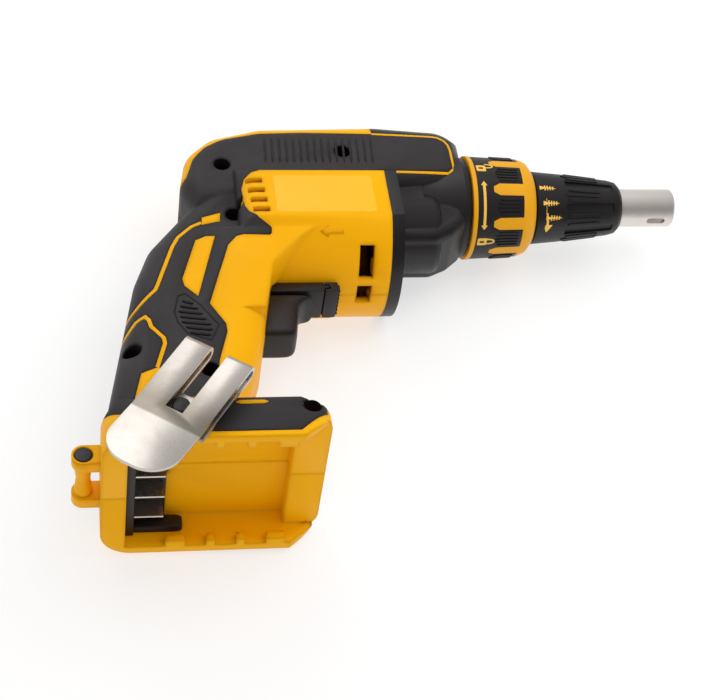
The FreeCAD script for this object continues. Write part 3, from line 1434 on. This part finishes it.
def hook_bosses():
    """Flat bosses on both sides of the foot that the belt hook can be screwed to."""
    x = joint - d.hook_screw_setback
    inner = d.foot_half_width - d.dock_wall
    outer = d.foot_half_width + d.hook_boss_height
    bosses = []
    for sign, name in ((1, "right"), (-1, "left")):
        levels = sorted((inner * sign, outer * sign), key=float)
        bosses.append(box(
            f"hook_boss_{name}",
            (x - d.hook_boss_half, foot_rim + d.rim_height, levels[0]),
            (x + d.hook_boss_half, foot_top - d.foot_edge, levels[1]),
        ))
    return bosses


def tether():
    """Ears at the rear of the foot, and the post and screw between them."""
    x = foot_rear - d.ear_reach
    y = foot_top - d.ear_drop
    ears, holes = [], []
    outer = d.ear_inner + d.ear_thickness
    for sign, name in ((1, "right"), (-1, "left")):
        start = d.ear_inner if sign > 0 else -outer
        eye = cylinder(f"ear_{name}_eye", "z", d.ear_radius, (x, y, start), d.ear_thickness)
        arm = box(f"ear_{name}_arm", (x, y - d.ear_radius, start),
                  (foot_rear + d.foot_rear_corner, y + d.ear_radius, start + d.ear_thickness))
        ears += [eye, arm]
    seat = outer - d.screw_head_height
    holes.append(cylinder("tether_recess", "z", d.screw_head_radius + d.screw_clearance, (x, y, seat), FAR))
    holes.append(cylinder("tether_hole", "z", d.screw_radius, (x, y, -outer - OVERCUT), outer * 2))
    shank = cylinder("tether_shank", "z", d.screw_radius, (x, y, -outer + d.end_gap),
                     seat + outer - d.end_gap)
    head = cylinder("tether_head", "z", d.screw_head_radius, (x, y, seat), d.screw_head_height)
    node(fuse("tether_screw_body", shank, head), "tether_screw")
    halves = []
    for sign, name in ((1, "upper"), (-1, "lower")):
        cone = doc.addObject("Part::Cone", f"post_{name}")
        cone.Label = f"post_{name}"
        first, second = (d.post_radius, d.post_end_radius)[::sign]
        bind(cone, "Radius1", first)
        bind(cone, "Radius2", second)
        bind(cone, "Height", d.ear_inner)
        for letter, place in zip("xyz", (x, y, 0 if sign > 0 else -d.ear_inner)):
            bind(cone, f"Placement.Base.{letter}", place)
        settle(cone)
        halves.append(cone)
    bore = cylinder("post_bore", "z", d.screw_radius, (x, y, -FAR / 2), FAR)
    node(cut("post_body", fuse("post_blank", *halves), bore), "tether_post")
    return ears, holes


def belt_hook():
    """Folded steel belt hook and its screw."""
    x = joint - d.hook_screw_setback
    y = foot_top - d.hook_screw_drop
    base = d.foot_half_width + d.hook_boss_height
    leaf = base + d.hook_thickness
    upper = leaf + d.hook_gap
    top = upper + d.hook_thickness
    body = new_body("hook_body")
    strip = pad(body, "hook_strip", "XZ_Plane", [
        (0, base),
        (d.hook_inner, base),
        (d.hook_inner, leaf),
        (d.hook_thickness, leaf),
        (d.hook_thickness, upper),
        (d.hook_bend, upper),
        (d.hook_length, upper + d.hook_flare),
        (d.hook_length, top + d.hook_flare),
        (d.hook_bend, top),
        (0, top),
    ], d.hook_width, both=True)
    fold = d.hook_gap / 2 - d.running_fit
    outside = edges_through(strip.Shape, [(0, base), (0, top)], axes=(0, 2))
    first = rounded(body, "hook_fold_outside", strip, outside, fold + d.hook_thickness)
    inside = edges_through(first.Shape, [(d.hook_thickness, leaf), (d.hook_thickness, upper)], axes=(0, 2))
    rounded(body, "hook_fold_inside", first, inside, fold)
    slot = d.hook_slot / 2
    short = d.hook_screw_reach - d.screw_head_radius * 2
    both_ways = [(-OVERCUT, -slot), (short, -slot), (short, slot), (-OVERCUT, slot)]
    pocket(body, "hook_slot_both", "XY_Plane", both_ways, FAR, both=True)
    end = d.hook_slot_end
    pocket(body, "hook_slot_upper", "XY_Plane", [(0, -slot), (end, -slot), (end, slot), (0, slot)],
           FAR / 2, leaf + d.hook_gap / 2, against=True)
    half = d.hook_width / 2
    plan = new_body("hook_plan")
    corners = [(-OVERCUT, -half), (d.hook_length, -half), (d.hook_length, half), (-OVERCUT, half)]
    sheet_plan = pad(plan, "hook_plan_pad", "XY_Plane", corners, d.hook_length * 4, both=True)
    tongue_edges = edges_through(sheet_plan.Shape, corners[1:3])
    rounded(plan, "hook_tongue", sheet_plan, tongue_edges, d.hook_tongue_round)
    angle = 180.0 + float(d.hook_angle)
    for piece in (body, plan):
        piece.Placement.Rotation = Rotation(Vector(0, 0, 1), angle)
        bind(piece, "Placement.Base.x", x - d.hook_screw_reach * math.cos(math.radians(angle)))
        bind(piece, "Placement.Base.y", y - d.hook_screw_reach * math.sin(math.radians(angle)))
        settle(piece)
    hole = cylinder("hook_hole", "z", d.hook_screw_radius, (x, y, base - OVERCUT),
                    d.hook_thickness + OVERCUT * 2)
    node(cut("hook_drilled", common("hook_sheet", body, plan), hole), "belt_hook")
    depth = d.dock_wall + d.hook_boss_height
    shank = cylinder("hook_screw_shank", "z", d.hook_screw_radius, (x, y, base - depth),
                     depth + d.hook_thickness)
    head = cylinder("hook_screw_head", "z", d.screw_head_radius, (x, y, leaf), d.screw_head_height)
    node(fuse("hook_screw_body", shank, head), "belt_hook_screw")
    return cylinder("hook_thread", "z", d.hook_screw_radius, (x, y, -FAR / 2), FAR)


def controls():
    """Trigger, switch, direction button and the room they need."""
    front = joint - d.trigger_front
    rear = front - d.trigger_depth
    top = -d.trigger_top
    bottom = top - d.trigger_height
    half = d.trigger_half_width
    body = new_body("trigger_body")
    turns = quarter_turns()[:-1]
    lip_low = top - d.trigger_lip_height
    curve = [(front + d.trigger_lip * (1 - math.sin(a)), lip_low - d.trigger_curve * (1 - math.cos(a)))
             for a in turns]
    corners = [
        (front + d.trigger_lip, top),
        *curve,
        (front - d.trigger_rake, bottom),
        (rear, bottom),
        (rear, top),
    ]
    blade = pad(body, "trigger_blade", "XY_Plane", corners, half * 2, both=True)
    rounded(body, "trigger_edges", blade, edges_on(blade.Shape, 2, half), d.trigger_round)
    node(body, "trigger")
    switch_front = rear - d.trigger_travel - d.end_gap
    switch_rear = switch_front - d.switch_length
    middle = top - d.trigger_height / 2
    plunger_rear = switch_front - d.plunger_reach + d.trigger_travel
    node(cylinder("plunger_body", "x", d.plunger_radius, (plunger_rear, middle, 0), rear - plunger_rear),
         "trigger_plunger")
    switch_low = middle - d.switch_height / 2
    switch_high = middle + d.switch_height / 2
    module = box("switch_box", (switch_rear, switch_low, -d.switch_half_width),
                 (switch_front, switch_high, d.switch_half_width))
    bore = cylinder("plunger_bore", "x", d.plunger_radius + d.running_fit,
                    (switch_front - d.plunger_reach - d.end_gap, middle, 0), d.plunger_reach + OVERCUT)
    node(cut("switch_body", module, bore), "switch_module")
    barrel_low = motor_y - d.barrel_radius
    nose_top = barrel_low - d.running_fit * 2
    nose_low = nose_top - d.nose_drop
    nose_front = joint - d.nose_reach
    block = box("nose_block", (rear, nose_low, -half), (nose_front, nose_top, half))
    rail_low = nose_low + d.nose_drop / 3
    rail_high = nose_top - d.nose_drop / 3
    rail = box("nose_rail", (nose_front - OVERCUT, rail_low, -half),
               (nose_front + d.button_rail, rail_high, half))
    node(fuse("switch_nose_body", block, rail), "switch_nose")
    gap = d.button_gap
    bar = box("button_bar", (nose_front + gap, nose_low, -d.button_half_width),
              (nose_front + gap + d.button_length, nose_top, d.button_half_width))
    groove = box("button_groove", (nose_front - OVERCUT, rail_low - gap, -FAR),
                 (nose_front + d.button_rail + gap, rail_high + gap, FAR))
    node(cut("button_body", bar, groove), "direction_button")
    room = box("trigger_room", (switch_front - OVERCUT, bottom - d.slide_gap, -half - d.slide_gap),
               (joint, barrel_low - d.running_fit, half + d.slide_gap))
    ribs = []
    for number, (low, high) in enumerate(((d.switch_half_width, d.handle_half_width),
                                          (-d.handle_half_width, -d.switch_half_width))):
        ribs.append(box(f"switch_rib_{number}", (switch_rear + d.rib_width, switch_low, low),
                        (switch_rear + d.rib_width * 2, switch_high, high)))
    return room, ribs


def electronics():
    """Tray and board in the handle, terminal block in the dock, and the leads."""
    front = joint - d.tray_setback
    rear = front - d.tray_length
    low = foot_top + d.tray_lift
    high = low + d.tray_height
    half = d.handle_half_width - d.housing_wall - d.end_play
    tray = box("tray_box", (rear, low, -half), (front, high, half))
    board_front = front - d.tray_wall
    room = box("tray_room", (rear + d.tray_wall, low + d.tray_wall, -half + d.tray_wall),
               (front + OVERCUT, high - d.tray_wall, half - d.tray_wall))
    node(cut("tray_body", tray, room), "control_tray")
    node(box("board_body", (rear + d.tray_wall, low + d.tray_wall, -half + d.tray_wall),
             (board_front, high - d.tray_wall, half - d.tray_wall)), "control_board")
    floor = foot_top - d.dock_floor
    block_rear = foot_rear + d.dock_rear
    block_front = block_rear + d.block_length
    side = d.foot_half_width - d.dock_wall - d.end_play
    back = box("block_back", (block_rear, floor - d.block_height, -side),
               (block_rear + d.block_wall, floor, side))
    base = box("block_base", (block_rear, floor - d.block_wall, -side), (block_front, floor, side))
    node(fuse("block_body", back, base), "terminal_block")
    blades = []
    blade_low = floor - d.block_wall - d.blade_height
    for number in range(int(float(d.blade_count))):
        z = d.blade_pitch * (number - (float(d.blade_count) - 1) / 2)
        blade_half = d.blade_thickness / 2
        blades.append(box(f"blade_{number}", (block_rear + d.block_wall, blade_low, z - blade_half),
                          (block_front - OVERCUT, floor - d.block_wall, z + blade_half)))
    node(group("blade_group", blades), "terminal_blades")
    lead_x = (block_rear + d.block_wall + front) / 2
    leads, ways = [], []
    for number, side_sign in enumerate((-1, 1)):
        z = d.lead_spacing * side_sign
        leads.append(cylinder(f"battery_lead_{number}", "y", d.lead_radius, (lead_x, floor, z), low - floor))
        ways.append(cylinder(f"battery_lead_way_{number}", "y", d.lead_radius + d.end_play,
                             (lead_x, floor - OVERCUT, z), low - floor + OVERCUT * 2))
    node(group("battery_lead_group", leads), "battery_leads")
    motor_leads((rear + front) / 2, high)
    return ways


def motor_leads(tray_x, tray_top):
    """Three leads from the electronics tray up behind the switch to the sensor board."""
    board = sensor_front - d.board_thickness
    exit_y = motor_y - d.sensor_radius + d.lead_exit
    solids = []
    for number in (-1, 0, 1):
        z = float(d.lead_spacing) * number
        corners = [
            Vector(float(tray_x), float(tray_top), z),
            Vector(float(tray_x), float(tray_top + d.lead_rise), z),
            Vector(float(tray_x + d.lead_step), float(exit_y - d.lead_drop), z),
            Vector(float(tray_x + d.lead_run), float(exit_y), z),
            Vector(float(board), float(exit_y), z),
        ]
        solids.append(lead_solid(corners))
    node(free_shape("motor_lead_group", Part.makeCompound(solids)), "motor_leads")


def lead_solid(corners):
    """Round lead along straight runs joined by tangent arcs."""
    bend = float(d.lead_bend)
    edges = []
    start = corners[0]
    for before, corner, after in zip(corners, corners[1:], corners[2:]):
        into = (corner - before).normalize()
        out = (after - corner).normalize()
        turn = into.getAngle(out)
        reach = bend * math.tan(turn / 2)
        first = corner - into * reach
        last = corner + out * reach
        inward = (out - into).normalize()
        middle = corner + inward * (bend / math.cos(turn / 2) - bend)
        edges.append(Part.LineSegment(start, first).toShape())
        edges.append(Part.Arc(first, middle, last).toShape())
        start = last
    edges.append(Part.LineSegment(start, corners[-1]).toShape())
    path = Part.Wire(edges)
    section = Part.Wire(Part.makeCircle(float(d.lead_radius), corners[0], corners[1] - corners[0]))
    return path.makePipeShell([section], True, False)


def motor_seats():
    """Ribs that hold the stator and the rear bearing inside the barrel."""
    solids = []
    hold = d.barrel_radius - d.housing_wall / 2
    inside = barrel("seat_area", d.housing_wall / 2, joint, barrel_rear + d.housing_wall)
    for number, start in enumerate((stator_rear + d.rib_width, stator_front - d.rib_width * 2)):
        rib = ring(f"stator_rib_{number}", start, start + d.rib_width, d.stator_radius + d.running_fit,
                   hold, motor_y)
        solids.append(common(f"stator_rib_fitted_{number}", rib, inside))
    back = rear_bearing_back - d.rib_width
    cup_radius = d.bearing_radius + d.rib_width
    cup = ring("bearing_cup", back, rear_bearing_front, d.bearing_radius, cup_radius, motor_y)
    arm_half = d.bearing_radius - d.rib_width
    arms = []
    for sign, name in ((1, "right"), (-1, "left")):
        outer = d.barrel_half_width - d.housing_wall / 2
        levels = sorted((sign * (d.bearing_radius + OVERCUT), sign * outer), key=float)
        arms.append(box(f"bearing_arm_{name}", (back, motor_y - arm_half, levels[0]),
                        (rear_bearing_front, motor_y + arm_half, levels[1])))
    return solids + [cup] + arms


def vents():
    """Louvres at the rear of the barrel and fan windows near its front."""
    tools = []
    for number in range(int(float(d.louvre_count))):
        y = d.louvre_top - d.louvre_pitch * number
        x = barrel_rear + d.louvre_setback + d.louvre_shift * number
        for sign, name in ((1, "right"), (-1, "left")):
            levels = sorted((sign * d.handle_half_width, sign * (d.barrel_half_width + OVERCUT)), key=float)
            tools.append(box(f"louvre_{name}_{number}", (x, y, levels[0]),
                             (x + d.louvre_length, y + d.louvre_height, levels[1])))
    for number, width in enumerate((d.window_width, d.window_side_width)):
        window = new_body(f"fan_window_{number}")
        half = width / 2
        start = joint - d.window_setback
        pad(window, f"fan_window_pad_{number}", "XZ_Plane", [
            (start - d.window_length, -half),
            (start, -half),
            (start, half),
            (start - d.window_length, half),
        ], d.housing_wall * 3, d.barrel_radius - d.housing_wall * 2)
        window.Placement.Rotation = Rotation(Vector(1, 0, 0), -float(d.window_step) * number)
        bind(window, "Placement.Base.y", motor_y)
        settle(window)
        tools.append(window)
    return tools


def housing():
    """Clamshell halves, rubber over-moulds, screws and everything that they carry."""
    beam = beam_block("beam_block", 0)
    handle = handle_block("handle_block", 0)
    foot = foot_block("foot_block", 0)
    motor_barrel = barrel("barrel_block", 0, joint, barrel_rear)
    neck = neck_block("neck_block", 0)
    neck_skin = neck_block("neck_skin", d.grip_depth)
    beam_skin = beam_block("beam_skin", d.grip_depth)
    handle_skin = handle_block("handle_skin", d.grip_depth)
    barrel_skin = barrel("barrel_skin", d.grip_depth, joint, barrel_rear + d.grip_depth)
    beam_hollow = beam_block("beam_hollow", d.housing_wall)
    handle_hollow = handle_block("handle_hollow", d.housing_wall)
    barrel_hollow = barrel("barrel_hollow", d.housing_wall, joint + OVERCUT, barrel_rear + d.housing_wall)
    behind = box("behind_joint", (joint - FAR, -FAR, -FAR), (joint, FAR, FAR))
    right = box("right_side", (-FAR, -FAR, 0), (FAR, FAR, FAR))
    left = box("left_side", (-FAR, -FAR, -FAR), (FAR, FAR, 0))

    tongue_area = prism("tongue_area", tongue_outline(0, joint), SIDE_REACH)
    core_half = d.beam_half_width - d.tongue_depth
    core = box("tongue_core", (joint - OVERCUT, -FAR, -core_half), (joint + FAR, FAR, core_half))
    tongue = cut("tongue", common("tongue_blank", beam, tongue_area), core)

    room, switch_ribs = controls()
    lead_ways = electronics()
    ears, ear_holes = tether()
    hook_thread = belt_hook()
    screws, right_holes, left_holes = screw_tools()
    node(group("housing_screw_group", screws), "housing_screws")

    upper = fuse("upper_outer", beam, handle, motor_barrel, neck)
    core_inside = fuse("upper_skin", beam_skin, handle_skin, barrel_skin, neck_skin)
    area = grip_area()
    rubber = cut("grip_clear", cut("grip_layer", common("grip_slab", upper, area), core_inside), room)
    cored = fuse("upper_cored", cut("upper_bare", upper, area), core_inside)
    tongue_cored = cut("tongue_cored", common("tongue_cored_blank", cored, tongue_area), core)

    foot_inner = foot_block("foot_inner", d.cover_depth)
    cover_tool = foot_cover_tool(foot_inner)
    cover = common("cover_layer", foot, cover_tool)

    outer = fuse("shell_outer", common("upper_rear", cored, behind), tongue_cored, foot, *ears,
                 *hook_bosses())
    layered = cut("shell_layered", outer, cover_tool)
    shell = cut("shell", layered, common("beam_hollow_rear", beam_hollow, behind), handle_hollow,
                barrel_hollow, dock_tools())
    posts = []
    for number, (x, y) in enumerate(d.places("screw")):
        posts.append(cylinder(f"screw_post_{number}", "z", d.screw_boss, (x, y, -FAR / 2), FAR))
    case_holes = []
    for number, (y, z) in enumerate(case_screw_places()):
        start = joint - d.case_screw_reach
        posts.append(cylinder(f"case_post_{number}", "x", d.case_screw_boss, (start - d.end_gap, y, z),
                              d.case_screw_reach + d.end_gap))
        case_holes.append(cylinder(f"case_post_hole_{number}", "x", d.case_screw_radius, (start, y, z), FAR))
    middle = (d.grip_depth + d.housing_wall) / 2
    inside = fuse("rib_area", common("beam_rib_area", beam_block("beam_middle", middle), behind),
                  handle_block("handle_middle", middle),
                  barrel("barrel_middle", middle, joint, barrel_rear + middle),
                  common("foot_rib_area", foot_inner, foot_floor()))
    ribs = common("ribs_fitted", fuse("ribs", *posts, *switch_ribs, *motor_seats()), inside)
    bearing_room = cylinder("rear_bearing_room", "x", d.bearing_radius, (rear_bearing_back, motor_y, 0),
                            d.bearing_width + OVERCUT)
    whole = cut("whole", fuse("shell_ribbed", shell, ribs, *rails()), room, hook_thread, bearing_room,
                *vents(), *lead_ways, *case_holes, *ear_holes)
    node(cut("right_half", common("right_half_blank", whole, right), *right_holes), "housing_right")
    node(cut("left_half", common("left_half_blank", whole, left), *left_holes), "housing_left")
    node(cut("grip_right_cut", common("grip_right_blank", rubber, right), *right_holes), "grip_right")
    node(common("grip_left_blank", rubber, left), "grip_left")
    node(cut("cover_right_cut", common("cover_right_blank", cover, right), *right_holes), "foot_cover_right")
    node(common("cover_left_blank", cover, left), "foot_cover_left")
    gear_case(beam, beam_hollow, tongue)


def foot_floor():
    """Part of the foot that a screw post may fill."""
    half = d.foot_half_width - d.cover_depth
    return box("foot_floor", (foot_front - d.dock_front, foot_top - d.lip_height, -half),
               (foot_front - d.cover_depth, foot_top - d.cover_depth, half))


def foot_cover_tool(inner):
    """Room of the rubber cover on the foot, clear of the handle and the hook bosses."""
    x = joint - d.hook_screw_setback
    toe = foot_front - d.foot_toe_run
    rim = foot_rim + d.rim_height
    front_area = prism("cover_front", [
        (x + d.hook_boss_half + d.cover_line, rim),
        (toe - d.cover_line, rim),
        (foot_front - d.cover_toe, rim + d.foot_toe_rise),
        (foot_front - d.cover_toe, foot_top + OVERCUT),
        (x + d.hook_boss_half + d.cover_line, foot_top + OVERCUT),
    ], SIDE_REACH)
    rear_area = prism("cover_rear", [
        (foot_rear - OVERCUT, foot_top - d.ear_drop + d.ear_radius + d.cover_line),
        (x - d.hook_boss_half - d.cover_line, rim + d.cover_rise),
        (x - d.hook_boss_half - d.cover_line, foot_top + OVERCUT),
        (foot_rear - OVERCUT, foot_top + OVERCUT),
    ], SIDE_REACH)
    clear = d.handle_half_width + d.cover_inner
    middle = box("cover_clear", (-FAR, -FAR, -clear), (FAR, FAR, clear))
    area = fuse("cover_area", front_area, rear_area)
    return cut("cover_tool", cut("cover_area_sides", area, middle), inner)


def build():
    """Make every piece."""
    nose_tube()
    depth_collar()
    lock_ring()
    nose_base()
    drive_gear()
    pinion()
    clutch_spring()
    spindle()
    motor()
    bearing_plate()
    housing()


def write():
    """Check every object and piece, then write one file a piece."""
    faulty = [f"{item.Label}: {item.State}" for item in doc.Objects if {"Invalid", "Error"} & set(item.State)]
    if faulty:
        raise RuntimeError(", ".join(faulty))
    os.makedirs("parts", exist_ok=True)
    for name, solid in nodes:
        if solid.Shape.isNull() or not solid.Shape.isValid():
            raise RuntimeError(f"{name}: no valid shape")
        solid.Shape.exportStep(f"parts/{name}.step")
        print(f"{name}: {len(solid.Shape.Solids)} solid(s), {solid.Shape.Volume:.0f} mm3")


build()
write()
